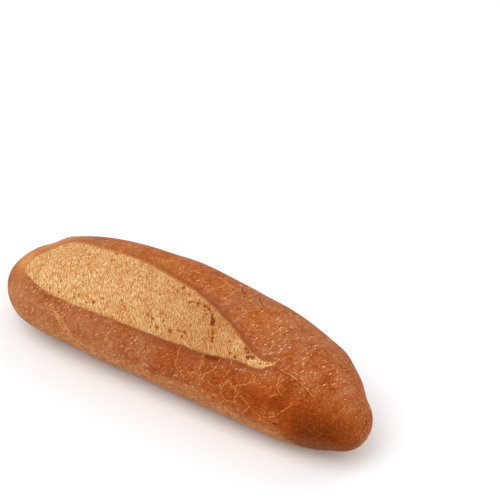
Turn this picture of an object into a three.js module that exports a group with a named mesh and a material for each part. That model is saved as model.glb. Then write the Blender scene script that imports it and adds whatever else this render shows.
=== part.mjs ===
// A mini baguette: one hand-length loaf of crusty white bread, lying on its flat sole.
// One long cut along the top has opened in the oven into a wide lens of pale crumb.
// Millimetres, +Z up. +X runs along the loaf, +Y to its bulged side, and the sole is at Z = 0.
import * as THREE from "three";
import { mergeVertices } from "three/addons/utils/BufferGeometryUtils.js";

// ---- Driving dimensions of the loaf ----
const LENGTH = 180; // tip to tip
const WIDTH = 58; // across the loaf half way along
const HEIGHT = 43; // above the sole, half way along
const BELT_HEIGHT = 0.4 * HEIGHT; // height of the widest point of a section
const SOLE_DEPTH = 1.12 * BELT_HEIGHT; // the lower half would reach this far if the sole were not flat
const SECTION_POWER = 2.15; // 2 is an ellipse, more is squarer
const SIDE_SHIFT = -7.72; // puts the middle of the loaf's box over the origin

// ---- How the section changes along the loaf: "u" is -1 at the blunt end and +1 at the drawn-out end ----
const BLUNT_END_POWER = 3.7; // fullness of the plan outline towards each end
const DRAWN_END_POWER = 3.1;
const BLUNT_CROWN_POWER = 3.5; // fullness of the side outline towards each end
const DRAWN_CROWN_POWER = 3.6;
const WIDTH_TAPER = -0.11; // narrower towards the drawn-out end
const CROWN_TAPER = 0.03; // and a little higher
const SPINE_BOW = 8.9; // the loaf bows to +Y at its middle
const DRAWN_TIP_DROP = 2.8; // the drawn-out tip hangs below the belt

// ---- The opened cut: distances across the loaf are measured from its spine ----
// Both edges are [along the loaf, across the loaf], from one tip of the opening to the other.
const FRONT_EDGE = [
  [-76.3, -11.4], [-74.5, -13.8], [-68, -18], [-61.6, -20.9], [-48.7, -23.7], [-30, -24.5], [-5, -24],
  [18, -22.2], [34, -20.1], [47, -17.2], [51, -13.1],
];
const BACK_EDGE = [
  [-76.3, -11.2], [-75, -7.2], [-71.2, -2.4], [-66.5, 3.9], [-61.5, 5.1], [-45, 3.7], [-31, 3.5],
  [-11, 0.4], [6, -2.9], [24, -8.8], [37, -13.4], [45.3, -15.3], [51, -13.0],
];
const BACK_LIP_HEIGHT = 1.5; // the back lip stands over the crumb
const FRONT_LIP_HEIGHT = 0.5;
const LIP_WIDTH = 1.6; // over which the surface steps down from the lip
const LIP_ROLL = 0.5; // the crust swells this much at the back lip
const LIP_ROLL_REACH = 5;
const CRUMB_SWELL = 0.9; // the crumb rises again between the lips
const TIP_FADE = 12; // the roll and the swell fade out where the opening is narrower or shorter than this

// ---- The mesh ----
const RINGS = 76; // sections along the loaf
const SPOKES = 62; // points around a section
const BACK_SPOKE = 14; // this spoke follows the opening's back edge
const FRONT_SPOKE = 34; // and this one its front edge
const SPOKE_GAP = 0.25; // least angle in radians between those two
const SPOKE_REST = (2 * Math.PI) / 3; // the angle they settle around beyond the opening's tips
const SPOKE_FADE = 14; // over this length
const MERGE_DISTANCE = 0.001;

// A smooth curve through points sorted by their first number.
function smoothThrough(points) {
  const along = points.map((point) => point[0]);
  const across = points.map((point) => point[1]);
  const curve = new THREE.CubicInterpolant(along, across, 1);
  return (x) => curve.evaluate(THREE.MathUtils.clamp(x, along[0], along[along.length - 1]))[0];
}

const frontEdge = smoothThrough(FRONT_EDGE);
const backEdge = smoothThrough(BACK_EDGE);
const OPENING_START = FRONT_EDGE[0][0];
const OPENING_END = FRONT_EDGE[FRONT_EDGE.length - 1][0];

// How much of the full size is left at u, for an outline that closes in a round end.
function roundEnd(u, bluntPower, drawnPower) {
  const power = u < 0 ? bluntPower : drawnPower;
  return Math.sqrt(Math.max(0, 1 - Math.abs(u) ** power));
}

function spine(u) {
  return SIDE_SHIFT + SPINE_BOW * (1 - u * u);
}

function halfWidth(u) {
  return (WIDTH / 2) * roundEnd(u, BLUNT_END_POWER, DRAWN_END_POWER) * (1 + WIDTH_TAPER * u);
}

function crown(u) {
  const fullness = roundEnd(u, BLUNT_CROWN_POWER, DRAWN_CROWN_POWER);
  return (HEIGHT - BELT_HEIGHT) * fullness * (1 + CROWN_TAPER * u);
}

function belt(u) {
  return BELT_HEIGHT - (u > 0 ? DRAWN_TIP_DROP * u ** 4 : 0);
}

function squarer(value) {
  return Math.sign(value) * Math.abs(value) ** (2 / SECTION_POWER);
}

// A point of the whole, uncut loaf. The angle turns from +Y over the top to -Y and on under the sole.
function loafPoint(u, angle) {
  const reach = squarer(Math.sin(angle));
  const below = SOLE_DEPTH * roundEnd(u, BLUNT_CROWN_POWER, DRAWN_CROWN_POWER);
  const rise = reach > 0 ? crown(u) * reach : below * reach;
  const height = Math.max(0, belt(u) + rise);
  return new THREE.Vector3((u * LENGTH) / 2, spine(u) + halfWidth(u) * squarer(Math.cos(angle)), height);
}

// The angle at which a section passes a given distance across from the spine, over the top.
function angleAt(u, across) {
  const share = across / halfWidth(u);
  return Math.acos(Math.sign(share) * Math.abs(share) ** (SECTION_POWER / 2));
}

// The angles of the two spokes that follow the opening's edges, and run on past its tips.
function edgeSpokes(u) {
  const x = (u * LENGTH) / 2;
  const inside = THREE.MathUtils.clamp(x, OPENING_START, OPENING_END);
  const uInside = (2 * inside) / LENGTH;
  const back = angleAt(uInside, backEdge(inside));
  const front = angleAt(uInside, frontEdge(inside));
  const beyond = Math.min(1, Math.abs(x - inside) / SPOKE_FADE);
  const middle = THREE.MathUtils.lerp((back + front) / 2, SPOKE_REST, beyond);
  const gap = Math.max(front - back, SPOKE_GAP);
  return [middle - gap / 2, middle + gap / 2];
}

// Spreads the spokes evenly between those two. Turn is 0 to 1 around the section.
function spokeAngle(u, turn) {
  const [back, front] = edgeSpokes(u);
  const backTurn = BACK_SPOKE / SPOKES;
  const frontTurn = FRONT_SPOKE / SPOKES;
  if (turn < backTurn) {
    return (back * turn) / backTurn;
  }
  if (turn < frontTurn) {
    return back + ((front - back) * (turn - backTurn)) / (frontTurn - backTurn);
  }
  return front + ((2 * Math.PI - front) * (turn - frontTurn)) / (1 - frontTurn);
}

// Distance in from an edge of the opening, negative outside it.
function edgeDepths(point) {
  const u = (2 * point.x) / LENGTH;
  const across = point.y - spine(u);
  const tips = Math.min(point.x - OPENING_START, OPENING_END - point.x);
  return {
    back: Math.min(backEdge(point.x) - across, tips),
    front: Math.min(across - frontEdge(point.x), tips),
  };
}

// How far the surface lies above the uncut loaf: the lips' roll, the step down and the crumb's swell.
function relief(point) {
  const { back, front } = edgeDepths(point);
  if (front <= 0) {
    return 0;
  }
  if (back <= 0) {
    return LIP_ROLL * Math.exp(-((back / LIP_ROLL_REACH) ** 2)) * Math.min(1, front / TIP_FADE);
  }
  const backStep = BACK_LIP_HEIGHT * THREE.MathUtils.smoothstep(back, 0, LIP_WIDTH);
  const frontStep = FRONT_LIP_HEIGHT * THREE.MathUtils.smoothstep(front, 0, LIP_WIDTH);
  const fromBack = front / (front + back);
  const step = THREE.MathUtils.lerp(frontStep, backStep, fromBack);
  const swell = CRUMB_SWELL * Math.min(1, (front + back) / TIP_FADE);
  return swell * Math.sin(Math.PI * fromBack) ** 2 - step;
}

// The upward direction of the uncut loaf at a point of its section.
function outward(u, angle) {
  const across = Math.cos(angle) / halfWidth(u);
  const up = Math.sin(angle) / crown(u);
  return new THREE.Vector3(0, across, up).normalize();
}

// A sphere with its poles at the loaf's tips gives the rings and spokes; each point moves to its place.
function loafGeometry() {
  const geometry = new THREE.SphereGeometry(1, SPOKES, RINGS);
  const position = geometry.getAttribute("position");
  const uv = geometry.getAttribute("uv");
  for (let i = 0; i < position.count; i += 1) {
    const u = Math.sin(Math.PI * (uv.getY(i) - 0.5));
    const turn = uv.getX(i) % 1;
    const angle = spokeAngle(u, turn);
    const point = loafPoint(u, angle);
    const rise = relief(point);
    if (rise !== 0 && Math.sin(angle) > 0) {
      point.addScaledVector(outward(u, angle), rise);
    }
    position.setXYZ(i, point.x, point.y, point.z);
  }
  geometry.deleteAttribute("uv");
  geometry.deleteAttribute("normal");
  const closed = mergeVertices(geometry, MERGE_DISTANCE);
  closed.computeVertexNormals();
  return closed;
}

const crust = new THREE.MeshStandardMaterial({ color: "#b5703f", roughness: 0.55, metalness: 0 });
const loaf = new THREE.Mesh(loafGeometry(), crust);
loaf.name = "loaf";

const baguette = new THREE.Group();
baguette.add(loaf);

export default baguette;
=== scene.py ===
"""A mini baguette on its flat sole: a browned crust, opened along the top over a long lens of pale crumb.

Shapes are worked out in millimetres and written to the meshes in metres. +X runs along the loaf to its
drawn-out end and +Y to its bulged side. "u" is -1 at the blunt end and +1 at the drawn-out end. An angle
turns round the loaf from +Y over the top to -Y and on under the sole. "Across" is measured from the spine.
"""
import bisect
import functools
import math
import random

import bmesh
import bpy
from mathutils import Matrix, Vector, kdtree, noise


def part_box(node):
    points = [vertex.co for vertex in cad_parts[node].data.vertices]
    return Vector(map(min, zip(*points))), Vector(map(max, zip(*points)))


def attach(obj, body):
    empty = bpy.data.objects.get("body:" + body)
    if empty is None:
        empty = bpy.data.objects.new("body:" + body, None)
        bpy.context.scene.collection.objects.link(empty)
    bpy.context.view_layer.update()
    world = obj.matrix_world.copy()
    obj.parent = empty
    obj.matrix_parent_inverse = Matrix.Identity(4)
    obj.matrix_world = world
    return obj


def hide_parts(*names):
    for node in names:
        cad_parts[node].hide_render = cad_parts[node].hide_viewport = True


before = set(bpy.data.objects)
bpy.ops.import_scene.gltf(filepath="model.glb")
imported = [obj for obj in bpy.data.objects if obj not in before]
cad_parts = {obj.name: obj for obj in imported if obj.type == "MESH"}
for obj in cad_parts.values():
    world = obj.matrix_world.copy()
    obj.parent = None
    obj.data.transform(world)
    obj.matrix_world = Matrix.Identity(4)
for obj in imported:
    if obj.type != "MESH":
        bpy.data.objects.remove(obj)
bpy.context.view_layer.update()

MM = 0.001
TURN = 2 * math.pi
SEED = 7  # of the veins' wander and the fissure's sway

# ---- The camera, where the loaf was seen from, and the studio, in metres ----
CAMERA_PLACE = (0.24404, -0.31869, 0.36383)
CAMERA_AZIMUTH = 33.888
CAMERA_ELEVATION = 37.0
CAMERA_LENS = 90.0
FLOOR_HALF = 4.0
FLOOR_GAP = 0.0001  # the floor lies this far under the sole
FLOOR_GREY = (0.86, 0.86, 0.86, 1)
LAMPS = (  # with their places, sizes and watts
    ("key", (-0.3, -0.55, 1.2), 1.3, 11.0),
    ("right fill", (0.9, -0.4, 0.7), 1.2, 5.0),
    ("back fill", (0.1, 0.9, 0.8), 1.2, 3.0),
)
SKY_LIGHT = 0.6

# ---- The loaf's form, in millimetres ----
LOAF_LOW, LOAF_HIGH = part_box("loaf")
LENGTH = (LOAF_HIGH.x - LOAF_LOW.x) / MM
WIDTH = 0.951 * (LOAF_HIGH.y - LOAF_LOW.y) / MM  # half way along; the bow takes the rest of the box
HEIGHT = 0.989 * (LOAF_HIGH.z - LOAF_LOW.z) / MM  # half way along
BELT_HEIGHT = 0.4 * HEIGHT  # of the widest point of a section
SOLE_DEPTH = 1.12 * BELT_HEIGHT  # the lower half would reach this far if the sole were not flat
SECTION_POWER = 2.15  # 2 is an ellipse, more is squarer
SIDE_SHIFT = -7.72  # puts the middle of the loaf's box over the origin
SPINE_BOW = 8.9  # the loaf bows to +Y at its middle
BLUNT_END_POWER = 3.7  # fullness of the plan outline towards each end
DRAWN_END_POWER = 3.1
BLUNT_CROWN_POWER = 3.5  # fullness of the side outline towards each end
DRAWN_CROWN_POWER = 3.6
WIDTH_TAPER = -0.11  # narrower towards the drawn-out end
CROWN_TAPER = 0.03  # and a little higher
DRAWN_TIP_DROP = 2.8  # the drawn-out tip hangs below the belt

# ---- The opened cut: both edges as (along, across), from one tip of the opening to the other ----
FRONT_EDGE = (
    (-76.3, -11.4), (-74.5, -13.8), (-68, -18), (-61.6, -20.9), (-48.7, -23.7), (-30, -24.5),
    (-5, -24), (13, -22.9), (24, -21.8), (31.5, -20.2), (37.5, -18.9), (42, -18.2), (45.3, -17.8),
    (47.6, -17), (49.2, -15.6), (51.6, -13.7),
)
BACK_EDGE = (
    (-76.3, -11.2), (-75, -7.2), (-71.2, -2.4), (-66.5, 3.9), (-61.5, 5.1), (-45, 3.7), (-31, 3.5),
    (-11, 0.4), (6, -2.9), (24, -8.8), (31.8, -11.6), (39.5, -14.5), (43, -15), (46.2, -15.1),
    (48.4, -14.5), (51.6, -12.7),
)
OPENING_START = FRONT_EDGE[0][0]
OPENING_END = FRONT_EDGE[-1][0]
TIP_FADE = 12.0  # swells and rolls fade out where the opening is narrower or shorter than this
RAGGED_FRONT = 0.18  # how far the torn edges wander
RAGGED_BACK = 0.3
FRAYED = (43, 6, 2.0)  # the narrow end is more ragged: around here, over this length, by this much
GROOVE_DEPTH = 4.5  # of the groove that the crumb fills
GROOVE_WALL = 0.3  # how wide its sloping walls are
LIP_ROLL = 0.5  # the crust swells this much at the back lip
LIP_ROLL_REACH = 5.0
LIP_SHOULDER = 0.6  # over this width the back lip rounds down to the crumb
LIP_SHOULDER_DROP = 0.25
FRONT_DIP = 0.35  # the crust sinks this much beside the front lip
FRONT_DIP_REACH = 2.5

# ---- The crumb in the opening ----
CRUMB_TUCK = 0.9  # it runs this far under the crust
CRUMB_DEPTH = 4.0
CRUMB_EDGE_DROP = 1.4  # and its outermost edge dips this far
CRUMB_TUCK_STEEPNESS = 60  # how soon the tuck is full, from the crumb's tips
BACK_STEP = 0.2  # the crumb lies this far below the uncut loaf beside the back lip
FRONT_STEP = -0.1  # and stands this far above it beside the front lip
CRUMB_SWELL = 0.9
BEAD_RISE = 0.3  # a bead stands along its edges
BEAD_PLACE = 0.8  # this far in
BEAD_REACH = 0.7
FIBRE_TURN = 32  # in degrees from straight across the loaf, seen from above
FIBRE_SWAY = 1.2
GRAIN_START = 0.3  # the torn grain starts this far under the crust
GRAIN_FADE = 0.8  # and is full after this width
# Waves and fibres: height, how much they are drawn out, a shift that sets them apart, and size.
CRUMB_WAVES = ((0.24, 0.7, 3, 7.5), (0.1, 0.6, 11, 2.6))
CRUMB_FIBRES = ((0.15, 0.22, 61, 1.1), (0.08, 0.2, 19, 0.55), (0.03, 0.4, 29, 0.35))
# Holes: how far apart, how wide as a share of that, how deep, and a shift that sets them apart.
SMALL_HOLES = (1.2, 0.42, 0.35, 0)
LARGE_HOLES = (2.3, 0.4, 0.6, 40)

# ---- The crust's unevenness: height, size, and a shift along and across that sets each apart ----
FORM_WAVES = ((0.35, 34, 0, 0), (0.16, 13, 50, 0))
PUCKERS = ((0.05, 4.2, 0, 0), (0.025, 1.6, 0, 30))
CALM_BASE = 5.0  # it fades out over this height above the sole

# ---- The crust's grain runs round the loaf and leans along it, more so down the front ----
GRAIN_LEAN = 0.3
GRAIN_LEAN_GROWTH = 0.009

# ---- Marks on the crust, as (along, degrees round) ----
TIP_CRACK = ((51.6, 122.5), (55.7, 125), (59.1, 124), (62.7, 126), (65.6, 127), (68.1, 129), (70.6, 131))
CRACK_WANDER = 0.7  # in degrees
TIP_CRACK_STRENGTH = 0.6  # against 1 for the short cracks
CRACK_CLEFT = 0.16  # how deep a crack is cut
CRACK_PROUD = 0.1  # one side of it stands this far over the other
CRACK_WIDTH = 0.2
CRACK_REACH = 2.2  # the crust knows its distance from a crack this far off
VEIN_REACH = 1.2  # and from a vein
VEIN_RISE = 0.04
VEIN_WANDER = 0.3  # a vein wanders by this much
VEIN_BEND = 1.7  # and bends about this often
BLISTER_RISE = 0.35
SHORT_CRACKS = (
    ((32.5, 75.5), (31, 75.5), (29, 72.5), (26, 67)),
    ((21.5, 72), (18.5, 69.5), (16, 62)),
    ((49, 84), (47, 82.5)),
    ((66.5, 69), (63, 70)),
)
PINHOLE = (58, 177.3, 0.9, 0.5)  # with its radius and depth
VEINS = (
    ((11.5, 144), (11.5, 153.5), (11.5, 160.5), (12, 164.5), (14.5, 167), (15.5, 171)),
    ((22.5, 142.5), (23, 154.5), (22, 162), (23.5, 166.5), (24, 169.5), (25, 174), (27, 179)),
    ((30, 140), (29.5, 148.5), (28, 154), (25.5, 158.5), (25, 162.5), (24, 167)),
    ((35, 136.5), (35.5, 145.5), (34.5, 151.5), (34, 153.5)),
    (
        (23.5, 168), (21, 166.5), (19, 165.5), (16.5, 168.5), (15.5, 172), (16, 176), (17.5, 178.5),
        (21, 180),
    ),
    ((27, 179), (29.5, 177), (34, 170.5), (33.5, 166.5), (34.5, 162), (36.5, 152.5)),
    ((27, 179), (29.5, 181.5), (32.5, 184), (35.5, 187), (41.5, 186.5), (44.5, 187)),
    ((34, 170.5), (36, 173), (35.5, 176), (33.5, 181)),
    ((36, 175), (38.5, 173.5), (40.5, 173), (42.5, 177), (42.5, 179.5)),
    (
        (40.5, 173), (40.5, 167.5), (41.5, 162.5), (43, 163), (44.5, 166), (47.5, 170.5), (46, 174.5),
        (44.5, 181),
    ),
    ((41.5, 162.5), (40, 160.5), (40, 156), (43.5, 151.5), (47, 144)),
    ((38, 157.5), (38, 155), (36.5, 152.5)),
    (
        (48, 171), (49, 173.5), (52, 175.5), (55, 174), (58.5, 169), (60.5, 161.5), (62.5, 155.5),
        (64.5, 146),
    ),
    ((52, 175.5), (52.5, 178.5), (55.5, 179.5)),
    ((55.5, 169), (57.5, 165.5), (58.5, 168.5)),
    ((55.5, 126.5), (56, 137.5), (57, 141), (58, 145.5), (56, 148.5), (55, 152)),
    ((58, 145.5), (59.5, 139.5)),
    (
        (-53.5, 148), (-50, 157), (-48, 161.5), (-45.5, 166), (-42, 171), (-40, 177), (-36.5, 181.5),
        (-31, 183),
    ),
    ((-48, 159), (-45, 163), (-43.5, 169.5), (-40.5, 176), (-38, 180.5)),
    ((-52.5, 155), (-49.5, 161), (-47, 167.5), (-43.5, 174.5), (-40, 181)),
    ((-44.5, 145.5), (-43.5, 149.5), (-42, 152)),
    ((-21.5, 56), (-18, 60.5), (-16, 66)),
    ((-18.5, 74.5), (-18, 69), (-20, 62)),
    ((-8.5, 85), (-8.5, 79.5), (-6, 72.5), (-4, 64.5)),
    ((-11, 70.5), (-9, 78.5)),
    ((-6, 72.5), (-1.5, 72), (2, 66), (5, 64), (10.5, 68.5), (14.5, 70.5), (17.5, 70.5)),
    ((8.5, 90), (8.5, 84), (10.5, 79.5), (10.5, 68.5)),
    ((13.5, 57), (17.5, 66), (21.5, 70.5)),
    ((15.5, 90.5), (17, 85), (17, 75), (17.5, 69.5), (20.5, 69)),
    ((22.5, 70.5), (25, 66.5), (26, 67)),
    ((31.5, 79.5), (31, 84), (29, 91), (28, 96.5), (28, 101.5), (27, 108)),
    ((33.5, 74.5), (36, 70.5), (38.5, 69.5)),
    ((46.5, 86), (44.5, 91.5), (44.5, 96.5), (43.5, 100)),
)
BLISTERS = ((18.2, 173, 2.4), (42.1, 168, 1.8), (46.5, 177.5, 2.0), (59, 155.5, 3.6))
# How brown the crust is along the loaf, from 0 to 1.
BROWNING = (
    (-90, 0.44), (-70, 0.42), (-45, 0.43), (-15, 0.48), (15, 0.49), (45, 0.47), (70, 0.5), (90, 0.54),
)
# Softly darker (above 0) and paler (below 0) patches: along, degrees round, reach, amount. Most are the
# crust's own browning; the three just under the front lip, from 24.5 to 28.5 along, are painted shadow.
BAKED_AND_SHADED_PATCHES = (
    (-18, 158, 10, 0.05),
    (8, 157, 10, 0.14),
    (46, 166, 13, 0.2),
    (50, 156, 8, 0.1),
    (69, 165, 11, 0.27),
    (81, 172, 12, 0.34),
    (58.8, 154.5, 3.4, 0.22),
    (60.5, 134, 4.5, 0.15),
    (73, 114, 6, 0.08),
    (28, 160, 10, 0.1),
    # painted shadow under the crumb's overhang at the front lip
    (24.5, 141.5, 1.5, 0.4),
    (26.5, 140.8, 1.5, 0.4),
    (28.5, 140, 1.5, 0.35),
    (15.8, 174, 1.2, 0.25),
    (-57, 146, 4, 0.12),
    (-54, 141, 5, 0.12),
    (45, 140, 6, -0.08),
    (-60, 58, 5, 0.14),
    (-40, 62, 11, -0.05),
    (-18, 70, 9, -0.07),
    (74, 196, 9, 0.15),
    (1, 64, 7, 0.06),
    (-66, 160, 10, -0.02),
)
# Patches of a yellower crust, given in the same way.
GOLDEN_PATCHES = (
    (-80, 106, 5.5, 1.2),
    (-75, 80, 5.5, 1.0),
    (-69, 68, 4.5, 0.6),
    (-77, 122, 3.5, 0.5),
    (-74, 172, 10, 0.2),
    (-52, 174, 5, 0.16),
    (-44, 183, 5, 0.25),
)
# Where the brown is a clearer orange.
ORANGE_PATCHES = (
    (-84, 135, 12, 0.6),
    (-42, 66, 14, 0.75),
    (-20, 70, 12, 0.95),
    (4, 70, 12, 0.95),
    (36, 86, 12, 0.55),
    (8, 160, 9, 0.5),
    (28, 160, 11, 0.65),
    (48, 160, 12, 0.9),
    (68, 165, 11, 0.85),
    (78, 182, 8, 0.7),
)
# Where pale flecks are many, given in the same way.
FLECKED_PATCHES = (
    (44, 88, 13, 0.45),
    (72, 96, 10, 0.08),
    (54, 172, 4, 0.3),
    (57, 170, 5, 0.5),
    (-54, 158, 10, 0.3),
    (-49, 157, 4, 0.3),
    (-66, 160, 12, 0.2),
    (0, 158, 12, 0.15),
)
# The duller base reaches this far above the belt, along the loaf.
BASE_TOP = ((-90, 2.9), (-47, 1.1), (-28, 0.2), (-2, -0.2), (30, -0.4), (60, -1.2), (75, -0.4), (90, 1.5))
BASE_SOFTNESS = 4.4  # it fades out over this height
BASE_WAVER = 2.6  # and wavers by this much
BASE_WAVER_SIZE = 8
# How dark the crust is beside the lips, along the loaf, and two widths that it fades over.
BESIDE = ((-76, 0.45), (-30, 0.5), (-5, 0.9), (12, 1.15), (38, 1.05), (52, 0.6))
BESIDE_REACHES = (4.2, 1.5)
RIM_WIDTH = 0.6  # of the golden rim round the opening: partly the crust's own paler torn edge, partly painted light over the shade on the groove's walls

# ---- Hand-shaped swells (above 0) and hollows: along, degrees round, reach, height ----
SWELLS = (
    (-86.5, 115, 9, 0.45), (-78.5, 64, 4.5, -0.75), (-72, 57, 3.5, 0.35), (-37, 45, 9, 0.3),
    (-8, 42, 13, 0.85), (25, 42, 9, -0.35), (66.5, 35, 6, 0.85), (82.8, 25, 4.5, -1.0), (88, 5, 6, 0.4),
    (86.8, 232, 5, 0.35), (79.5, 221, 4, -0.35), (57, 214, 11, 0.55), (8, 210, 20, 0.5),
    (-46, 208, 13, -0.9), (-74, 197, 9, 0.65),
)

# ---- Marks in the crumb, as along, across, radius and depth ----
PORES = (
    (-2, -2.5, 0.8, 0.7), (-5.9, -4.8, 0.6, 0.4), (-9.6, -2.6, 0.5, 0.3), (-2.9, -5.5, 0.9, 0.4),
    (0, -5.3, 0.7, 0.3), (2.4, -4.6, 0.6, 0.5), (5.5, -8, 0.8, 0.5), (6.8, -7.5, 0.5, 0.5),
    (8.6, -6.8, 0.9, 0.8), (9.3, -7.9, 0.9, 0.4), (12, -6.7, 1.1, 0.4), (13.3, -8.7, 0.8, 0.4),
    (15, -10.1, 0.5, 0.5), (-40, 3.2, 0.9, 0.8), (-38.2, -1.7, 0.8, 0.4), (-28.3, -3.5, 0.6, 0.3),
    (-21.3, -12.1, 0.6, 0.4), (-54.2, 0, 1.1, 0.3), (-50.1, -1.7, 0.9, 0.3), (-57.9, -1, 0.6, 0.3),
    (-66.8, -2, 0.6, 0.4), (-75.6, -7.6, 0.7, 0.7), (-7.6, -19.4, 0.7, 0.8), (-4.7, -20, 0.6, 0.7),
    (0.1, -19.3, 0.5, 0.4), (-4.2, -22.5, 0.6, 0.4), (-1.5, -21.7, 1.1, 0.4), (4.7, -21.2, 1.0, 0.6),
    (8.6, -20.1, 0.6, 0.4), (11.1, -19.6, 1.0, 0.4), (10.7, -21, 0.9, 0.4), (6, -18.6, 0.6, 0.3),
    (12.2, -16.9, 0.5, 0.4), (-33, -22.3, 0.7, 0.7), (-29.7, -20.1, 0.6, 0.4), (-21.6, -18.5, 0.6, 0.4),
    (-18.9, -19.8, 0.6, 0.4), (-36.3, -23, 0.6, 0.4), (-43, -22.6, 0.6, 0.5), (-41.1, -21.3, 0.5, 0.4),
    (-41.4, -18, 0.5, 0.3), (-52.2, -18.2, 0.6, 0.4), (-50.7, -22.1, 0.6, 0.4), (-55.7, -21.3, 0.6, 0.4),
    (-69.1, -13.2, 0.6, 0.3), (22.7, -16, 0.7, 0.4), (23.4, -17.3, 0.6, 0.4), (24.3, -18.2, 0.6, 0.3),
    (38.2, -14.6, 0.8, 0.7), (39.7, -15.3, 0.9, 0.6), (40.6, -16.8, 1.0, 0.5), (42.6, -15.8, 1.0, 0.7),
    (41.2, -15.9, 0.7, 0.5), (30.7, -15.4, 0.6, 0.4), (33, -18.6, 0.9, 0.4), (35.8, -18.9, 0.9, 0.4),
    (50.4, -13.3, 0.5, 0.5), (49.1, -14.7, 0.5, 0.4), (46.5, -16.3, 0.5, 0.4),
)
PORE_WIDTH = 1.6  # the pores are opened this much wider
PORE_DEPTH = 0.6  # and cut to this share of their depth
PORE_SPREAD = 1.8  # and their painted shade reaches further up their sides
# A torn fissure, in the same way: its hollows are strung along this line.
FISSURE = (
    (12.8, -6.4, 0.6, 0.35), (14.4, -7.2, 0.7, 0.4), (16, -8, 0.35, 0.5), (17.4, -9.2, 0.4, 0.8),
    (18.4, -10.4, 0.5, 1.0), (19.4, -11.6, 0.8, 1.1), (20.4, -12.6, 0.75, 1.0), (21.1, -13.2, 0.35, 0.5),
    (21.7, -14.3, 0.1, 0.1), (22.3, -15.4, 0.45, 0.7), (22.8, -16, 0.12, 0.1), (23.4, -17, 0.5, 0.7),
    (24, -18, 0.45, 0.5), (24.6, -19, 0.3, 0.3),
)
FISSURE_STEP = 0.4
FISSURE_SWAY = 0.4
# Where holes are many: along, across, reach along, reach across, amount.
POROUS_AREAS = (
    (9, -7, 9, 3, 1.0), (21, -14, 4, 5, 1.0), (5, -20.5, 9, 2, 0.9), (41, -15.8, 5, 2, 1.3),
    (-40, 2, 7, 2, 0.5), (-36, -22, 9, 1.5, 0.5),
)
# How toasted the crumb is along the loaf, from 0 to 1.
TOASTED = (
    (-76, 0), (-60, 0), (-30, 0.2), (0, 0.58), (22, 1), (30, 0.85), (36, 0.6), (42, 0.35), (52, 0.15),
)
# Low steps, lower on the blunt side: from (along, across) to (along, across), and the height.
LEDGES = (((-23.1, -9.4), (-16.5, -19), 0.5), ((3.3, -15.7), (6.6, -20.2), 0.35))
LEDGE_REACH = 6.0

# ---- The meshes ----
CRUST_RINGS = 500
CRUST_STRETCHES = (  # spokes from each guide round the section to the next
    ("back face", 78), ("back lip", 12), ("back wall", 1), ("groove", 8), ("front wall", 1),
    ("front lip", 12), ("front face", 50), ("underside", 36),
)
CRUST_SPOKES = sum(count for _, count in CRUST_STRETCHES)
LIP_BAND = 0.12  # in radians, finely divided beside each edge
SOLE_EDGE_ANGLE = math.radians(205)
CRACK_GAP = 0.03  # in radians: the guides stay this far apart beyond the opening's tips
SPOKE_REST = math.radians(120)  # there they settle around this angle
SPOKE_FADE = 14.0  # over this length
NEAR_TIP = 0.99  # beyond this u the crust has nothing beside the opening
CRUMB_RINGS = 560
CRUMB_SPOKES = 176
CRUMB_TOP_SPOKES = 142  # of which these are on top


# ---- Numbers ----
def mix(a, b, share):
    return a + (b - a) * share


def clamp(value, low=0.0, high=1.0):
    return min(max(value, low), high)


def smooth_step(value):
    share = clamp(value)
    return share * share * (3 - 2 * share)


def smooth_through(points):
    """A smooth curve through points sorted by their first number; beyond them it stays level."""
    xs = [point[0] for point in points]
    ys = [point[1] for point in points]
    secants = [(y1 - y0) / (x1 - x0) for (x0, y0), (x1, y1) in zip(points, points[1:])]
    slopes = [(a + b) / 2 for a, b in zip(secants[:1] + secants, secants + secants[-1:])]

    def curve(x):
        x = clamp(x, xs[0], xs[-1])
        i = min(bisect.bisect_right(xs, x), len(xs) - 1) - 1
        gap = xs[i + 1] - xs[i]
        t = (x - xs[i]) / gap
        rise = t * t * (3 - 2 * t)
        start_bend = t * (1 - t) ** 2 * slopes[i] * gap
        end_bend = t * t * (t - 1) * slopes[i + 1] * gap
        return mix(ys[i], ys[i + 1], rise) + start_bend + end_bend

    return curve


def ripple(x, y, z, size):
    """Smooth unevenness from about -1 to 1, with bumps of about this size in millimetres."""
    return noise.noise(Vector((x, y, z)) / size)


# ---- The uncut loaf ----
def round_end(u, blunt_power, drawn_power):
    """How much of the full size is left at u, for an outline that closes in a round end."""
    power = blunt_power if u < 0 else drawn_power
    return math.sqrt(max(0.0, 1 - abs(u) ** power))


def spine(u):
    return SIDE_SHIFT + SPINE_BOW * (1 - u * u)


def half_width(u):
    return WIDTH / 2 * round_end(u, BLUNT_END_POWER, DRAWN_END_POWER) * (1 + WIDTH_TAPER * u)


def crown_fullness(u):
    return round_end(u, BLUNT_CROWN_POWER, DRAWN_CROWN_POWER)


def crown(u):
    return (HEIGHT - BELT_HEIGHT) * crown_fullness(u) * (1 + CROWN_TAPER * u)


def belt(u):
    return BELT_HEIGHT - (DRAWN_TIP_DROP * u ** 4 if u > 0 else 0)


def squarer(value):
    return math.copysign(abs(value) ** (2 / SECTION_POWER), value)


def loaf_point(u, angle):
    """A point of the whole, uncut loaf."""
    reach = squarer(math.sin(angle))
    rise = (crown(u) if reach > 0 else SOLE_DEPTH * crown_fullness(u)) * reach
    height = max(0.0, belt(u) + rise)
    return Vector((u * LENGTH / 2, spine(u) + half_width(u) * squarer(math.cos(angle)), height))


def angle_at(u, across):
    """The angle at which a section passes a given distance across from the spine, over the top."""
    share = clamp(across / half_width(u), -1, 1)
    return math.acos(math.copysign(abs(share) ** (SECTION_POWER / 2), share))


def outward(u, angle):
    """The upward direction of the uncut loaf at a point of its section."""
    return Vector((0, math.cos(angle) / half_width(u), math.sin(angle) / crown(u))).normalized()


def on_crust(x, degrees):
    return loaf_point(2 * x / LENGTH, math.radians(degrees))


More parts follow.
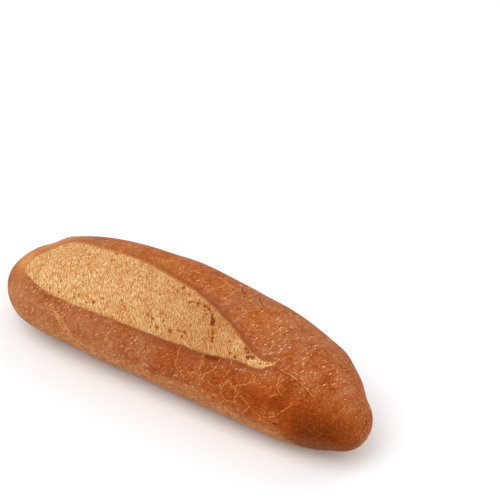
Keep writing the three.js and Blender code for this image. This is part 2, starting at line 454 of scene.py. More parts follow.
def placed(patches):
    """Patches given as along, degrees round, reach and amount, with their middles found on the loaf."""
    return [(on_crust(x, degrees), reach, amount) for x, degrees, reach, amount in patches]


def covering(point, patches):
    """What placed patches add up to at a point."""
    total = 0.0
    for middle, reach, amount in patches:
        distance = (point - middle).length / reach
        if distance < 3:
            total += amount * math.exp(-distance * distance)
    return total


# ---- The opening's edges ----
front_curve = smooth_through(FRONT_EDGE)
back_curve = smooth_through(BACK_EDGE)
crack_curve = smooth_through(TIP_CRACK)


def ragged(x, side):
    """How a torn edge wanders at x, from about -1 to 1: in waves and in small nicks."""
    return ripple(x, side, 0, 5.0) + 0.8 * ripple(x, side, 7, 1.3)


@functools.lru_cache(maxsize=None)
def opening(x):
    """The opening's front and back edge at x, as distances across."""
    middle, reach, more = FRAYED
    frayed = 1 + more * math.exp(-(((x - middle) / reach) ** 2))
    fade = smooth_step(frayed * (back_curve(x) - front_curve(x)) / TIP_FADE)
    front = front_curve(x) + RAGGED_FRONT * frayed * fade * ragged(x, -20)
    return front, back_curve(x) + RAGGED_BACK * fade * ragged(x, 20)


def edge_depths(x, across):
    """Distance in from the front and the back edge of the opening, negative outside it."""
    front, back = opening(x)
    tips = min(x - OPENING_START, OPENING_END - x)
    return min(across - front, tips), min(back - across, tips)


# ---- A sphere's rings and spokes, which each piece is worked from ----
def ball(rings, spokes):
    """A round ball with its poles on the X axis, and the ring and spoke of each of its points."""
    bm = bmesh.new()
    lying = Matrix.Rotation(math.pi / 2, 4, "Y")
    bmesh.ops.create_uvsphere(bm, u_segments=spokes, v_segments=rings, radius=1, matrix=lying)
    bm.verts.index_update()
    places = []
    for vert in bm.verts:
        ring = round((math.asin(clamp(vert.co.x, -1, 1)) / math.pi + 0.5) * rings)
        spoke = round(math.atan2(vert.co.z, vert.co.y) / TURN * spokes) % spokes
        places.append((ring, spoke))
    return bm, places


def unroll(bm, places, rings, spokes):
    """Lays the ball's faces out flat for baking: rings run across the map and spokes up it."""
    layer = bm.loops.layers.uv.new("OFBake")
    for face in bm.faces:
        around = [places[vert.index][1] for vert in face.verts if 0 < places[vert.index][0] < rings]
        wraps = max(around) - min(around) > spokes / 2
        if wraps:
            around = [spoke or spokes for spoke in around]
        for loop in face.loops:
            ring, spoke = places[loop.vert.index]
            if ring in (0, rings):
                spoke = sum(around) / len(around)
            elif wraps:
                spoke = spoke or spokes
            loop[layer].uv = (ring / rings, spoke / spokes)


def finish_piece(bm, name):
    for face in bm.faces:
        face.smooth = True
    mesh = bpy.data.meshes.new(name)
    bmesh.ops.scale(bm, vec=(MM, MM, MM), verts=bm.verts)
    bm.to_mesh(mesh)
    bm.free()
    piece = bpy.data.objects.new(name, mesh)
    bpy.context.scene.collection.objects.link(piece)
    return piece


# ---- Marks that are pressed into or raised on a surface ----
def finely(points, step=0.3):
    """Points every step along a line of points."""
    fine = []
    for start, end in zip(points, points[1:]):
        count = max(1, math.ceil((end - start).length / step))
        fine += [start.lerp(end, i / count) for i in range(count)]
    return fine + [points[-1]]


def near(tree, spots, reach):
    """The surface's points within reach of any spot, with the distance and number of the nearest spot."""
    found = {}
    for number, spot in enumerate(spots):
        for _, index, distance in tree.find_range(spot, reach):
            found[index] = min((distance, number), found.get(index, (reach, 0)))
    return found


class Surface:
    """A mesh that marks are worked into: each point's lift along its normal, and its named masks."""

    def __init__(self, bm, masks):
        self.bm = bm
        for name in masks:
            bm.verts.layers.float.new(name)
        self.layers = {name: bm.verts.layers.float[name] for name in masks}
        self.verts = list(bm.verts)
        self.lift = [0.0] * len(self.verts)
        self.tree = kdtree.KDTree(len(self.verts))
        for index, vert in enumerate(self.verts):
            self.tree.insert(vert.co, index)
        self.tree.balance()
        bm.normal_update()

    def tint(self, index, mask, amount):
        layer = self.layers[mask]
        vert = self.verts[index]
        vert[layer] = max(vert[layer], amount)

    def groove(self, spots, width, depth, mask, amount=1.0):
        """Sinks the surface along a row of spots, or raises it if depth is negative, and tints the mask."""
        for index, (distance, _) in near(self.tree, spots, width).items():
            fade = 1 - smooth_step(distance / width)
            self.lift[index] -= depth * fade
            self.tint(index, mask, clamp(amount * fade))

    def draw(self, spots, reach, mask, side, strength=1.0):
        """Notes a line finer than the mesh: how near it is, and how far off, above 0 on its left side."""
        noted = {}
        last = len(spots) - 1
        for index, (distance, number) in near(self.tree, spots, reach).items():
            vert = self.verts[index]
            ahead = spots[min(number + 1, last)] - spots[max(number - 1, 0)]
            offset = (vert.co - spots[number]).dot(vert.normal.cross(ahead).normalized())
            ends = smooth_step(0.35 + 5 * min(number, last - number) / last)
            nearness = strength * ends * (1 - smooth_step(distance / reach))
            noted[index] = (nearness, offset)
            if nearness > vert[self.layers[mask]]:
                vert[self.layers[mask]] = nearness
                vert[self.layers[side]] = offset
        return noted

    def split(self, spots, strength, proud):
        """Opens a crack along a row of spots: a cleft, with its left side standing proud."""
        noted = self.draw(spots, CRACK_REACH, "crack", "crack side", strength)
        for index, (nearness, offset) in noted.items():
            self.lift[index] -= nearness * CRACK_CLEFT * math.exp(-((offset / CRACK_WIDTH) ** 2))
            self.lift[index] += nearness * proud * smooth_step(offset / CRACK_WIDTH)

    def work(self):
        """Moves every point by its lift, and keeps the sole flat on the ground."""
        self.bm.normal_update()
        normals = [vert.normal.copy() for vert in self.verts]
        for vert, normal, lift in zip(self.verts, normals, self.lift):
            vert.co += normal * lift
            vert.co.z = max(0.0, vert.co.z)


# ---- The crust ----
def crack_angle(x):
    return math.radians(crack_curve(x) + CRACK_WANDER * ripple(x, 0, 3, 2.6))


def guide_angles(x):
    """The two angles that the mesh follows beside the opening, and past its tips."""
    inside = clamp(x, OPENING_START, OPENING_END)
    front_across, back_across = opening(inside)
    back = angle_at(2 * inside / LENGTH, back_across)
    front = angle_at(2 * inside / LENGTH, front_across)
    gap = max(front - back, CRACK_GAP)
    middle = (back + front) / 2
    if x > OPENING_END:
        settle = smooth_step((x - TIP_CRACK[-1][0]) / SPOKE_FADE)
        middle = mix(crack_angle(x), SPOKE_REST, settle)
    elif x < OPENING_START:
        middle = mix(middle, SPOKE_REST, smooth_step((OPENING_START - x) / SPOKE_FADE))
    return middle - gap / 2, middle + gap / 2


@functools.lru_cache(maxsize=None)
def spoke_angles(u):
    """The angle of every spoke of the crust's section at u."""
    back, front = guide_angles(u * LENGTH / 2)
    wall = min(GROOVE_WALL / half_width(u), (front - back) / 4) if abs(u) < 1 else 0
    guides = (
        0, back - LIP_BAND, back, back + wall, front - wall, front, front + LIP_BAND, SOLE_EDGE_ANGLE, TURN,
    )
    angles = []
    for (_, count), start, end in zip(CRUST_STRETCHES, guides, guides[1:]):
        angles += [mix(start, end, i / count) for i in range(count)]
    return angles


def lip_lift(front, back):
    """The groove under the crumb, the back lip's roll and the dip beside the front lip."""
    if front > 0 and back > 0:
        narrow = min(1.0, (front + back) / TIP_FADE * 2)
        return -GROOVE_DEPTH * narrow * smooth_step(min(front, back) / GROOVE_WALL) - LIP_SHOULDER_DROP
    fade = min(1.0, max(front, back, 0) / TIP_FADE)
    if back <= 0 < front:
        roll = LIP_ROLL * math.exp(-((back / LIP_ROLL_REACH) ** 2))
        shoulder = LIP_SHOULDER_DROP * (1 - min(1.0, -back / LIP_SHOULDER)) ** 2
        return fade * roll - shoulder
    if front <= 0 < back:
        return -FRONT_DIP * fade * math.exp(-((front / FRONT_DIP_REACH) ** 2))
    return 0.0


swells = placed(SWELLS)


def unevenness(point):
    """The loaf's hand-shaped swells, its waves and the crust's fine puckers."""
    def waves(kinds):
        return sum(height * ripple(x + along, y + across, z, size) for height, size, along, across in kinds)

    x, y, z = point
    swell = waves(FORM_WAVES) + covering(point, swells)
    return (swell + waves(PUCKERS)) * smooth_step(z / CALM_BASE)


def lengths_along(count=400):
    """Distance over the crust from the middle to many places along it, as (along, distance) in order."""
    def place(step):
        u = math.sin(math.pi / 2 * step / count)
        return u * LENGTH / 2, (half_width(u) + crown(u)) / 2

    lengths = [(0.0, 0.0)]
    for step in range(1, count + 1):
        (x0, radius0), (x1, radius1) = place(step - 1), place(step)
        lengths.append((x1, lengths[-1][1] + math.hypot(x1 - x0, radius1 - radius0)))
    return lengths


LENGTHS = lengths_along()


def unrolled(u, angle):
    """The crust laid out flat, in millimetres: along it, leaning as its grain does, and round it."""
    x = abs(u) * LENGTH / 2
    i = min(bisect.bisect_left(LENGTHS, (x,)), len(LENGTHS) - 1)
    along = math.copysign(LENGTHS[i][1] - (LENGTHS[i][0] - x), u)
    turned = (angle + math.pi / 2) % TURN - math.pi
    around = turned * (half_width(u) + crown(u)) / 2
    return along + around * (GRAIN_LEAN + GRAIN_LEAN_GROWTH * max(0.0, around)), around


browning_along = smooth_through(BROWNING)
base_top_along = smooth_through(BASE_TOP)
beside_along = smooth_through(BESIDE)
baked_and_shaded_patches = placed(BAKED_AND_SHADED_PATCHES)
PATCH_MASKS = {
    "golden": placed(GOLDEN_PATCHES),
    "orange": placed(ORANGE_PATCHES),
    "flecked": placed(FLECKED_PATCHES),
}


def base_share(u, point):
    """How much of the duller base shows, from 0 to 1."""
    under = belt(u) + base_top_along(point.x) - point.z + BASE_WAVER * ripple(*point, BASE_WAVER_SIZE)
    return smooth_step(under / BASE_SOFTNESS + 0.5)


def brown_crust(crust, index, u, angle):
    """Notes at one point of the crust what its material needs to know of the place."""
    vert = crust.verts[index]
    # the browning mask also holds the painted shadow under the front lip
    crust.tint(index, "browning_and_lip_shade", clamp(browning_along(vert.co.x) + covering(vert.co, baked_and_shaded_patches)))
    crust.tint(index, "base", base_share(u, vert.co))
    for mask, patches in PATCH_MASKS.items():
        crust.tint(index, mask, clamp(covering(vert.co, patches)))
    vert[crust.layers["grain along"]], vert[crust.layers["grain around"]] = unrolled(u, angle)


def shape_lips(crust, index, u):
    """Lifts one point of the crust's top as the opening asks, and notes how near it is."""
    x, y, _ = crust.verts[index].co
    front, back = edge_depths(x, y - spine(u))
    crust.lift[index] += lip_lift(front, back)
    outside = max(-front, -back)
    crust.tint(index, "rim", 1 - smooth_step(outside / RIM_WIDTH))
    shade = sum(0.5 * math.exp(-((outside / reach) ** 2)) for reach in BESIDE_REACHES)
    crust.tint(index, "beside", beside_along(x) * shade)


def make_crust():
    bm, places = ball(CRUST_RINGS, CRUST_SPOKES)
    turns = []
    for vert, (ring, spoke) in zip(bm.verts, places):
        u = math.sin(math.pi * (ring / CRUST_RINGS - 0.5))
        angle = spoke_angles(u)[spoke]
        turns.append((u, angle))
        vert.co = loaf_point(u, angle)
    masks = (
        "browning_and_lip_shade", "golden", "orange", "flecked", "base", "beside", "rim", "blister",
        "pinhole", "crack", "crack side", "vein", "vein side", "grain along", "grain around",
    )
    crust = Surface(bm, masks)
    for index, (u, angle) in enumerate(turns):
        crust.lift[index] = unevenness(crust.verts[index].co)
        if angle < math.pi and abs(u) < NEAR_TIP:
            shape_lips(crust, index, u)
        brown_crust(crust, index, u, angle)
    mark_crust(crust)
    crust.work()
    unroll(bm, places, CRUST_RINGS, CRUST_SPOKES)
    return finish_piece(bm, "crust")


def mark_crust(crust):
    def line(points, wander=0.0):
        fine = finely([on_crust(x, degrees) for x, degrees in points])
        return [point + wander * noise.noise_vector(point / VEIN_BEND) for point in fine]

    noise.seed_set(SEED)  # without it the veins would wander another way on every run
    start, end = TIP_CRACK[0][0], TIP_CRACK[-1][0]
    steps = [mix(start, end, i / 80) for i in range(81)]
    crack = [loaf_point(2 * x / LENGTH, crack_angle(x)) for x in steps]
    crust.split(crack, TIP_CRACK_STRENGTH, CRACK_PROUD)
    for points in SHORT_CRACKS:
        crust.split(line(points), 1.0, CRACK_PROUD / 2)
    for points in VEINS:
        noted = crust.draw(line(points, VEIN_WANDER), VEIN_REACH, "vein", "vein side")
        for index, (nearness, _) in noted.items():
            crust.lift[index] += VEIN_RISE * nearness
    for x, degrees, radius in BLISTERS:
        crust.groove([on_crust(x, degrees)], radius, -BLISTER_RISE, "blister")
    x, degrees, radius, depth = PINHOLE
    crust.groove(line(((x, degrees), (x + 1, degrees))), radius, depth, "pinhole")


# ---- The crumb ----
def crumb_form(front, back, tips):
    """How far the crumb's top lies above the uncut loaf, before its grain."""
    width = front + back
    share = clamp(front / width) if width > 0 else 0.5
    fade = min(1.0, max(width, 0) / TIP_FADE)
    step = mix(FRONT_STEP, BACK_STEP, smooth_step(share)) * fade
    swell = CRUMB_SWELL * fade * math.sin(math.pi * share) ** 2
    bead = BEAD_RISE * fade * math.exp(-(((min(front, back) - BEAD_PLACE) / BEAD_REACH) ** 2))
    rim = 1 - smooth_step((min(front, back, tips) + CRUMB_TUCK) / (CRUMB_TUCK + 0.1))
    return swell + bead - step - CRUMB_EDGE_DROP * rim


def holes(x, across, kind, share):
    """Scattered holes, of which this share is open: how deep in one this place is, from 0 to 1."""
    apart, widest, _, shift = kind
    x += shift
    wander = 0.25 * ripple(x, across, 5, 0.7)
    distances, centres = noise.voronoi(Vector((x + wander, across * 0.8 + wander, 0)) / apart)
    chosen = noise.cell(centres[0] * 71.3)
    if chosen < 1 - share:
        return 0.0
    strength = mix(0.4, 1, (chosen - 1 + share) / share)
    return strength * (1 - smooth_step(distances[0] / (widest * (0.4 + 0.6 * strength))))


def porousness(x, across):
    total = 0.0
    for area_x, area_across, reach_x, reach_across, amount in POROUS_AREAS:
        far_x = (x - area_x) / reach_x
        far_across = (across - area_across) / reach_across
        total += amount * math.exp(-(far_x ** 2) - far_across ** 2)
    return min(total, 1.2)


def ledges(x, across):
    """The low steps: how far this place is raised."""
    rise = 0.0
    for (x0, across0), (x1, across1), height in LEDGES:
        share = (across - across0) / (across1 - across0)
        beyond = x - mix(x0, x1, share) - 0.4 * ripple(x, across, 41, 1.5)
        if beyond > 0:
            ends = smooth_step(4 * share + 0.5) * smooth_step(4.5 - 4 * share)
            rise += height * ends * smooth_step(beyond / 0.5) * math.exp(-beyond / LEDGE_REACH)
    return rise


def along_fibres(x, across):
    """The same place measured across the crumb's fibres and along them; they sway a little."""
    turn = math.radians(FIBRE_TURN)
    x += FIBRE_SWAY * ripple(x, across, 47, 6)
    return x * math.cos(turn) + across * math.sin(turn), across * math.cos(turn) - x * math.sin(turn)


def crumb_grain(x, across):
    """The torn crumb's fibres, which run across the loaf, and its holes: lift, and how deep in a hole a place
    lies, which sets the painted shade in the pores.
    """
    def torn(kinds, over, down):
        return sum(height * ripple(over, down * drawn, shift, size) for height, drawn, shift, size in kinds)

    rough = torn(CRUMB_WAVES, x, across) + torn(CRUMB_FIBRES, *along_fibres(x, across)) + ledges(x, across)
    porous = porousness(x, across)
    small = holes(x, across, SMALL_HOLES, 0.3 + 0.25 * porous)
    large = holes(x, across, LARGE_HOLES, 0.5 * porous)
    return rough - SMALL_HOLES[2] * small - LARGE_HOLES[2] * large, max(small, large)


def crumb_span(along):
    """Where the crumb lies at a share of its length: x, and its front and back limits across."""
    x = mix(OPENING_START - CRUMB_TUCK, OPENING_END + CRUMB_TUCK, along)
    front, back = opening(clamp(x, OPENING_START, OPENING_END))
    tuck = CRUMB_TUCK * smooth_step(min(along, 1 - along) * CRUMB_TUCK_STEEPNESS)
    return x, front - tuck, back + tuck


toasted_along = smooth_through(TOASTED)


def crumb_point(span, spoke, at_tip):
    """A point of the crumb, and how much painted shade it gets from a pore. Spokes run over its top, then
    back beneath.
    """
    x, front_limit, back_limit = span
    on_top = spoke <= CRUMB_TOP_SPOKES
    share = spoke / CRUMB_TOP_SPOKES
    if not on_top:
        share = (CRUMB_SPOKES - spoke) / (CRUMB_SPOKES - CRUMB_TOP_SPOKES)
    if at_tip:
        share = 0.5
    across = mix(back_limit, front_limit, share)
    edge_front, edge_back = opening(clamp(x, OPENING_START, OPENING_END))
    front, back = across - edge_front, edge_back - across
    tips = min(x - OPENING_START, OPENING_END - x)
    rise = crumb_form(front, back, tips)
    pore_shade = 0.0
    if on_top:
        inside = smooth_step((min(front, back, tips) + GRAIN_START) / GRAIN_FADE)
        grain, depth = crumb_grain(x, across)
        rise += grain * inside
        pore_shade = clamp(PORE_SPREAD * depth) * inside
    else:
        narrow = clamp((back_limit - front_limit) / TIP_FADE)
        rise -= CRUMB_DEPTH * narrow * math.sin(math.pi * share) ** 0.6
    u = 2 * x / LENGTH
    angle = angle_at(u, across)
    return loaf_point(u, angle) + outward(u, angle) * rise, pore_shade


def make_crumb():
    bm, places = ball(CRUMB_RINGS, CRUMB_SPOKES)
    spans = [crumb_span(ring / CRUMB_RINGS) for ring in range(CRUMB_RINGS + 1)]
    pores = []
    for vert, (ring, spoke) in zip(bm.verts, places):
        vert.co, pore_shade = crumb_point(spans[ring], spoke, ring in (0, CRUMB_RINGS))
        pores.append(pore_shade)
    crumb = Surface(bm, ("pore_shade", "toasted"))
    for index, (ring, _) in enumerate(places):
        crumb.tint(index, "pore_shade", pores[index])
        crumb.tint(index, "toasted", toasted_along(spans[ring][0]))
    mark_crumb(crumb)
    crumb.work()
    unroll(bm, places, CRUMB_RINGS, CRUMB_SPOKES)
    return finish_piece(bm, "crumb")


def on_crumb(x, across):
    u = 2 * x / LENGTH
    angle = angle_at(u, across)
    front, back = edge_depths(x, across)
    rise = crumb_form(front, back, min(x - OPENING_START, OPENING_END - x)) + crumb_grain(x, across)[0]
    return loaf_point(u, angle) + outward(u, angle) * rise


def mark_crumb(crumb):
    dice = random.Random(SEED)
    fissure = []
    for x, across, radius, depth in finely([Vector(point) for point in FISSURE], FISSURE_STEP):
        sway = dice.uniform(-FISSURE_SWAY, FISSURE_SWAY)
        radius *= dice.uniform(0.7, 1.2)
        depth *= dice.uniform(0.6, 1)
        fissure.append((x + sway, across + 0.5 * sway, radius, depth))
    for x, across, radius, depth in PORES + tuple(fissure):
        # the pores and the fissure get painted shade as well as depth
        painted_pore_shade = PORE_SPREAD * clamp(depth * 1.5)
        crumb.groove([on_crumb(x, across)], radius * PORE_WIDTH, PORE_DEPTH * depth, "pore_shade", painted_pore_shade)


# ---- Materials: a small hand for wiring nodes ----
def srgb(red, green, blue):
    """A colour seen as 0 to 255 on a screen, in the light values that shaders use."""
    def linear(part):
        part /= 255
        return part / 12.92 if part <= 0.04045 else ((part + 0.055) / 1.055) ** 2.4

    return linear(red), linear(green), linear(blue), 1.0


class Wiring:
    """Adds nodes to a tree. An input is given as a value, or as another node's output to link."""

    def __init__(self, tree):
        self.tree = tree

    def node(self, kind, **settings):
        node = self.tree.nodes.new(kind)
        for name, value in settings.items():
            setattr(node, name, value)
        return node

    def feed(self, socket, value):
        if isinstance(value, bpy.types.NodeSocket):
            self.tree.links.new(value, socket)
        else:
            socket.default_value = value

    def math(self, operation, a, b=0.0, clamped=False):
        node = self.node("ShaderNodeMath", operation=operation, use_clamp=clamped)
        self.feed(node.inputs[0], a)
        self.feed(node.inputs[1], b)
        return node.outputs[0]

    def between(self, value, low, high, to_low=0.0, to_high=1.0):
        """Maps a value smoothly from low..high to to_low..to_high."""
        node = self.node("ShaderNodeMapRange", interpolation_type="SMOOTHSTEP")
        self.feed(node.inputs["Value"], value)
        for name, number in (("From Min", low), ("From Max", high), ("To Min", to_low), ("To Max", to_high)):
            self.feed(node.inputs[name], number)
        return node.outputs["Result"]

    def mix(self, share, a, b, blend="MIX"):
        node = self.node("ShaderNodeMix", data_type="RGBA", blend_type=blend, clamp_factor=True)
        self.feed(node.inputs[0], share)
        self.feed(node.inputs[6], a)
        self.feed(node.inputs[7], b)
        return node.outputs[2]

    def shades(self, value, stops):
        """A run of colours: each stop is a place from 0 to 1 and a colour."""
        node = self.node("ShaderNodeValToRGB")
        ramp = node.color_ramp
        ramp.elements[0].position, ramp.elements[0].color = stops[0]
        ramp.elements[1].position, ramp.elements[1].color = stops[-1]
        for place, colour in stops[1:-1]:
            ramp.elements.new(place).color = colour
        self.feed(node.inputs["Fac"], value)
        return node.outputs["Color"]

    def mask(self, name):
        return self.node("ShaderNodeAttribute", attribute_type="GEOMETRY", attribute_name=name).outputs["Fac"]

    def place(self, size=(1, 1, 1), shift=(0, 0, 0), turn=0.0):
        """Coordinates with one unit this many millimetres along, across and up, turned seen from above."""
        coordinates = self.node("ShaderNodeTexCoord").outputs["Object"]
        mapping = self.node("ShaderNodeMapping", vector_type="TEXTURE")
        self.feed(mapping.inputs["Vector"], coordinates)
        mapping.inputs["Scale"].default_value = [part * MM for part in size]
        mapping.inputs["Rotation"].default_value = (0, 0, math.radians(turn))
        mapping.inputs["Location"].default_value = [part * 0.1 for part in shift]
        return mapping.outputs["Vector"]

    def along(self):
        """The place along the loaf, in metres."""
        apart = self.node("ShaderNodeSeparateXYZ")
        self.feed(apart.inputs["Vector"], self.node("ShaderNodeTexCoord").outputs["Object"])
        return apart.outputs["X"]

    def grain(self, wide, long, layer=0.0):
        """Flat coordinates on the crust's grain: one unit is this many millimetres over it and along it."""
        node = self.node("ShaderNodeCombineXYZ")
        self.feed(node.inputs["X"], self.math("DIVIDE", self.mask("grain along"), wide))
        self.feed(node.inputs["Y"], self.math("DIVIDE", self.mask("grain around"), long))
        node.inputs["Z"].default_value = layer
        return node.outputs["Vector"]

    def warped(self, vector, amount):
        """Coordinates that wander by up to this many units."""
        wander = self.node("ShaderNodeTexNoise")
        self.feed(wander.inputs["Vector"], vector)
        wander.inputs["Scale"].default_value = 0.8
        shifted = self.node("ShaderNodeVectorMath", operation="MULTIPLY_ADD")
        self.feed(shifted.inputs[0], wander.outputs["Color"])
        shifted.inputs[1].default_value = (2 * amount, 2 * amount, 2 * amount)
        self.feed(shifted.inputs[2], vector)
        return shifted.outputs["Vector"]

    def noise(self, size, shift=(0, 0, 0), detail=2.0, roughness=0.5, turn=0.0):
        return self.noise_at(self.place(size, shift, turn), detail, roughness)

    def noise_at(self, vector, detail=2.0, roughness=0.5):
        node = self.node("ShaderNodeTexNoise")
        self.feed(node.inputs["Vector"], vector)
        node.inputs["Scale"].default_value = 1.0
        node.inputs["Detail"].default_value = detail
        node.inputs["Roughness"].default_value = roughness
        return node.outputs["Fac"]

    def bump(self, shader, height, strength, distance):
        """Fine relief from a height, this many millimetres deep at most."""
        node = self.node("ShaderNodeBump")
        node.inputs["Strength"].default_value = strength
        node.inputs["Distance"].default_value = distance * MM
        self.feed(node.inputs["Height"], height)
        self.feed(shader.inputs["Normal"], node.outputs["Normal"])

    def group(self, tree, **inputs):
        node = self.node("ShaderNodeGroup", node_tree=tree)
        for name, value in inputs.items():
            self.feed(node.inputs[name], value)
        return node


def dots_group():
    """Scattered dots of uneven size: one unit of the vector is the distance between their places."""
    tree = bpy.data.node_groups.new("scattered dots", "ShaderNodeTree")
    tree.interface.new_socket("Vector", in_out="INPUT", socket_type="NodeSocketVector")
    for name in ("Share", "Radius"):
        tree.interface.new_socket(name, in_out="INPUT", socket_type="NodeSocketFloat")
    tree.interface.new_socket("Mask", in_out="OUTPUT", socket_type="NodeSocketFloat")
    wire = Wiring(tree)
    start = wire.node("NodeGroupInput")
    cells = wire.node("ShaderNodeTexVoronoi", feature="F1")
    cells.inputs["Scale"].default_value = 1.0
    wire.feed(cells.inputs["Vector"], start.outputs["Vector"])
    chance = wire.node("ShaderNodeSeparateColor")
    wire.feed(chance.inputs["Color"], cells.outputs["Color"])
    chosen = wire.math("LESS_THAN", chance.outputs["Red"], start.outputs["Share"])
    size = wire.math("MULTIPLY_ADD", chance.outputs["Green"], 0.6)
    size.node.inputs[2].default_value = 0.4
    radius = wire.math("MULTIPLY", size, start.outputs["Radius"])
    nearness = wire.math("DIVIDE", cells.outputs["Distance"], radius)
    dot = wire.between(nearness, 1.0, 0.45)
    end = wire.node("NodeGroupOutput")
    wire.feed(end.inputs["Mask"], wire.math("MULTIPLY", dot, chosen))
    return tree


def new_material(name):
    material = bpy.data.materials.new(name)
    material.use_nodes = True
    return material, Wiring(material.node_tree), material.node_tree.nodes["Principled BSDF"]


CRUST_SHADES = (
    (0.0, srgb(196, 134, 84)),
    (0.2, srgb(178, 111, 68)),
    (0.38, srgb(163, 97, 62)),
    (0.52, srgb(154, 82, 45)),
    (0.66, srgb(146, 67, 22)),
    (0.82, srgb(123, 53, 6)),
    (1.0, srgb(100, 43, 2)),
)
# Mottles: size along, across and up, a shift that sets them apart, and how much they swing the browning.
CRUST_MOTTLES = (
    ((11, 11, 11), (0, 0, 0), 0.1),
    ((2.6, 8, 8), (5, 1, 2), 0.07),
    ((2.4, 2.8, 2.8), (3, 1, 4), 0.07),
    ((0.8, 1, 1), (8, 2, 6), 0.08),
)
ORANGE_SHIFT = (1.05, 0.87, 0.44, 1)
GOLDEN = srgb(204, 139, 76)
BASE_TAN = srgb(192, 138, 84)
BASE_BROWN = srgb(154, 90, 50)
BASE_MAUVE = srgb(148, 86, 56)
BASE_BAKED = srgb(104, 51, 18)
BESIDE_DARK = srgb(108, 49, 18)
BESIDE_LIP = srgb(128, 62, 34)
BLISTER_BROWN = srgb(128, 56, 16)
STREAK = srgb(194, 130, 78)
VEIN = srgb(208, 144, 84)
SPECK = srgb(208, 144, 82)
FLECK = srgb(230, 192, 140)
DARK_FLECK = srgb(180, 104, 42)
CRACK_RIM = srgb(198, 130, 74)
# Painted shadow in the cracks' clefts and in the pinhole.
CRACK_AND_HOLE_SHADOW = srgb(98, 36, 6)
# Drawn lines: half the width, and the softness beside it, in millimetres.
VEIN_LINE = (0.08, 0.22)
CRACK_LINE = (0.16, 0.22)
CRACK_RIM_LINE = (0.5, 0.45)
FLECK_GRAIN = (0.53, 2.5)  # the pale dashes lie this far apart over the grain and along it
STREAK_GRAIN = (0.5, 1.9)
DRAWN_END = (64, 78)  # towards the drawn-out end dashes give way to specks between these places


def swung(wire, value, mottles):
    """A value with mottles of several sizes added to it."""
    for size, shift, swing in mottles:
        value = wire.math("ADD", value, wire.between(wire.noise(size, shift), 0.25, 0.75, -swing, swing))
    return value


def thin_line(wire, name, kind):
    """A line that is finer than the mesh, from how near it is and how far off to one side."""
    width, softness = kind
    off = wire.math("ABSOLUTE", wire.mask(name + " side"))
    line = wire.between(off, width + softness, width)
    return wire.math("MULTIPLY", line, wire.between(wire.mask(name), 0.05, 0.4))


def towards_drawn_end(wire, body, tip):
    """A value that changes from the loaf's body to its drawn-out end."""
    start, end = DRAWN_END
    return wire.between(wire.along(), start * MM, end * MM, body, tip)


def crust_flecks(wire, dots):
    """Pale dashes that run round the loaf, in clusters."""
    clusters = wire.between(wire.noise((7, 7, 7), (4, 8, 2)), 0.42, 0.66, 0.04, 0.5)
    share = wire.math("ADD", clusters, wire.mask("flecked"))
    share = wire.math("MULTIPLY", share, towards_drawn_end(wire, 1.0, 0.3))
    lengthwise = wire.warped(wire.grain(*FLECK_GRAIN), 0.3)
    return wire.group(dots, Vector=lengthwise, Share=share, Radius=0.42).outputs["Mask"]


def crust_specks(wire, dots):
    """Small golden specks of two sizes, nearly everywhere."""
    def spots(size, shift, radius):
        return wire.group(dots, Vector=wire.place(size, shift), Share=share, Radius=radius).outputs["Mask"]

    share = wire.between(wire.noise((5, 5, 5), (6, 3, 9)), 0.35, 0.65, 0.3, 0.8)
    share = wire.math("ADD", share, towards_drawn_end(wire, 0.0, 0.2))
    coarse = spots((1, 1.2, 1.2), (7, 1, 5), 0.42)
    fine = spots((0.65, 0.8, 0.8), (2, 6, 3), 0.45)
    return wire.math("MAXIMUM", coarse, wire.math("MULTIPLY", fine, 0.7))


def base_colour(wire):
    """The duller base: tan and brown strands with mauve patches, darker where the crust is well browned."""
    strands = wire.noise((1.5, 0.7, 0.6), (1, 3, 8), 3.0, 0.7)
    mauve = wire.noise((3.5, 2, 1.2), (5, 2, 4), 3.0, 0.6)
    colour = wire.mix(wire.between(strands, 0.4, 0.58), BASE_BROWN, BASE_TAN)
    colour = wire.mix(wire.between(mauve, 0.46, 0.58, 0.0, 0.75), colour, BASE_MAUVE)
    return wire.mix(wire.between(wire.mask("browning_and_lip_shade"), 0.54, 0.74, 0.0, 0.9), colour, BASE_BAKED)


def crust_ground(wire):
    """The crust's brown, from its browning with the painted shadow under the front lip, and patches, without
    specks and lines.
    """
    browning_and_lip_shade, golden, orange = wire.mask("browning_and_lip_shade"), wire.mask("golden"), wire.mask("orange")
    calm = wire.between(browning_and_lip_shade, 0.55, 0.8, 1.0, 0.45)
    mottle = wire.math("MULTIPLY", swung(wire, 0.0, CRUST_MOTTLES), calm)
    colour = wire.shades(wire.math("ADD", browning_and_lip_shade, mottle, clamped=True), CRUST_SHADES)

    patchy = wire.between(wire.noise((3.5, 5, 5), (2, 4, 7), 3.0, 0.6), 0.3, 0.7, -0.25, 0.25)
    share = wire.between(wire.math("ADD", orange, patchy), 0.2, 0.7)
    share = wire.math("MULTIPLY", share, wire.between(orange, 0.0, 0.2))
    colour = wire.mix(share, colour, ORANGE_SHIFT, "MULTIPLY")

    uneven = wire.between(wire.noise((1.6, 2, 2), (9, 3, 1)), 0.35, 0.65)
    share = wire.math("MULTIPLY", golden, wire.between(uneven, 0, 1, 0.7, 1.0))
    colour = wire.mix(share, colour, GOLDEN)

    colour = wire.mix(wire.math("MULTIPLY", wire.mask("base"), 0.85), colour, base_colour(wire))
    beside = wire.math("MULTIPLY", wire.mask("beside"), wire.between(golden, 0, 0.45, 0.85, 0.0))
    # Where the mask holds the painted shadow under the front lip, this band turns to its darker colour:
    # painted shadow under the crumb's overhang.
    lip = wire.mix(wire.between(browning_and_lip_shade, 0.62, 0.85), BESIDE_LIP, BESIDE_DARK)
    colour = wire.mix(beside, colour, lip)
    return wire.mix(wire.math("MULTIPLY", wire.mask("blister"), 0.65), colour, BLISTER_BROWN)


